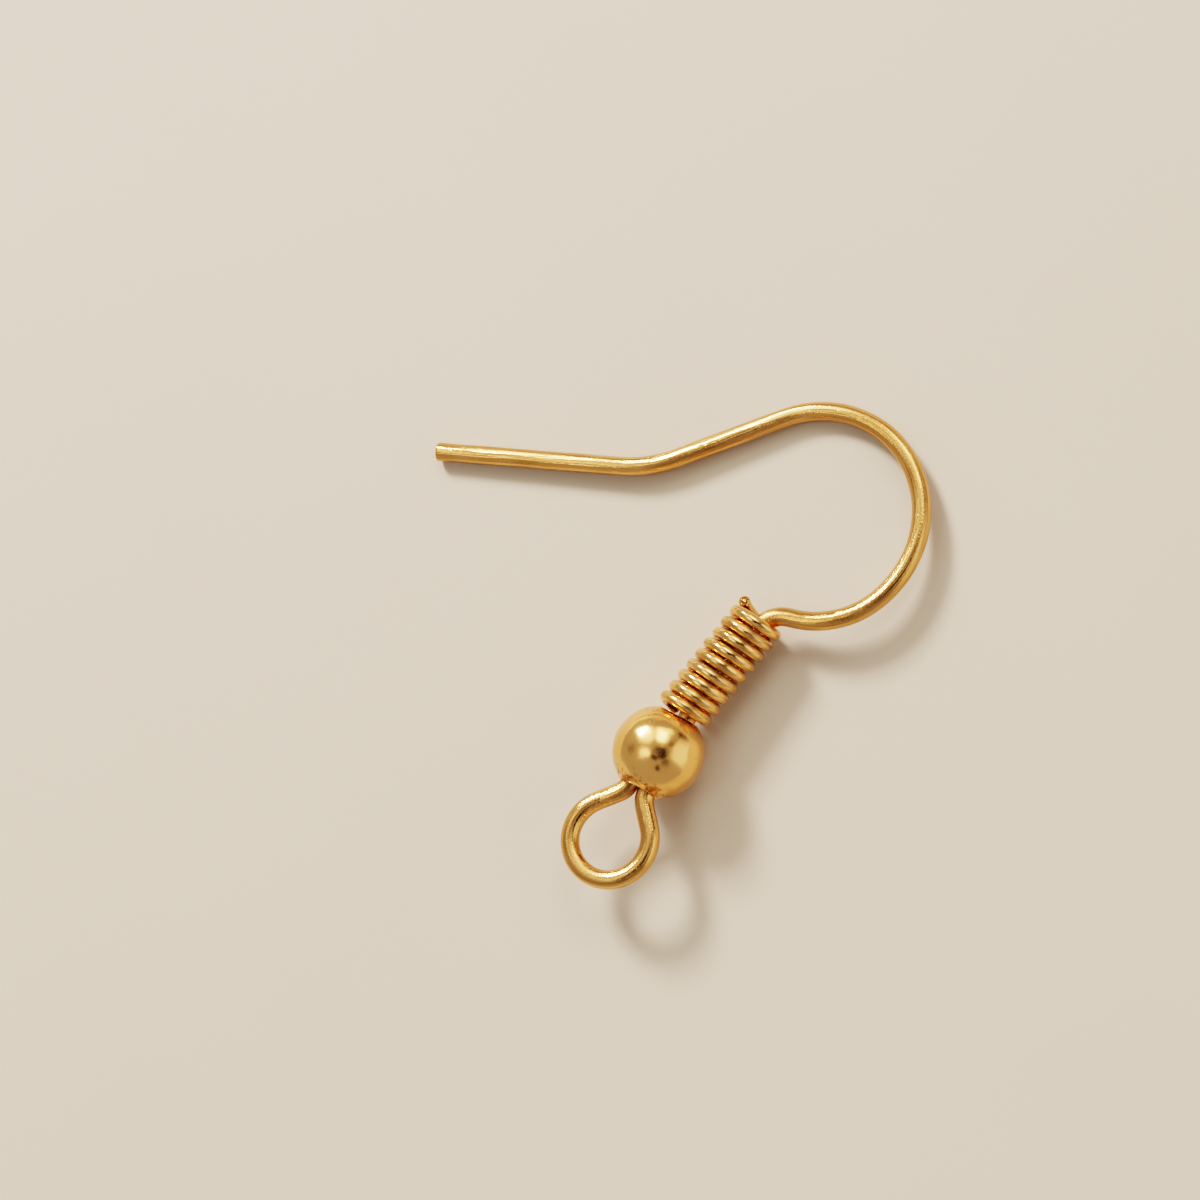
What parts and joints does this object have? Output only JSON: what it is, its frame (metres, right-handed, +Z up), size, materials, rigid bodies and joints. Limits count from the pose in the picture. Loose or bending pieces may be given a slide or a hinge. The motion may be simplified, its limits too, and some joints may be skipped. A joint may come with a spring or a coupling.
{
  "type": "ear wire",
  "caption": "Fish-hook ear wire in gold-plated metal, with a drilled bead and a close coil of finer wire on its shank and an eye for a drop. Lies flat.",
  "frame": {"origin": "on the surface that it lies on, midway below its bounding box", "axes": "+Z up from that surface; +Y from the eye to the top of the arch; +X from the tail to the front of the hook"},
  "size_m": [0.0166, 0.0176, 0.003],
  "materials": {
    "hook_wire": "drawn brass wire, gold plated, bright with fine lengthwise draw lines",
    "bead_shell": "gold plated and tumbled to a soft polish, with small pits and worn rims",
    "coil_wire": "fine gold plated wire, bright"
  },
  "bodies": {
    "root": {"ear_hook": "hook_wire", "bead": "bead_shell", "coil": "coil_wire"}
  },
  "joints": []
}
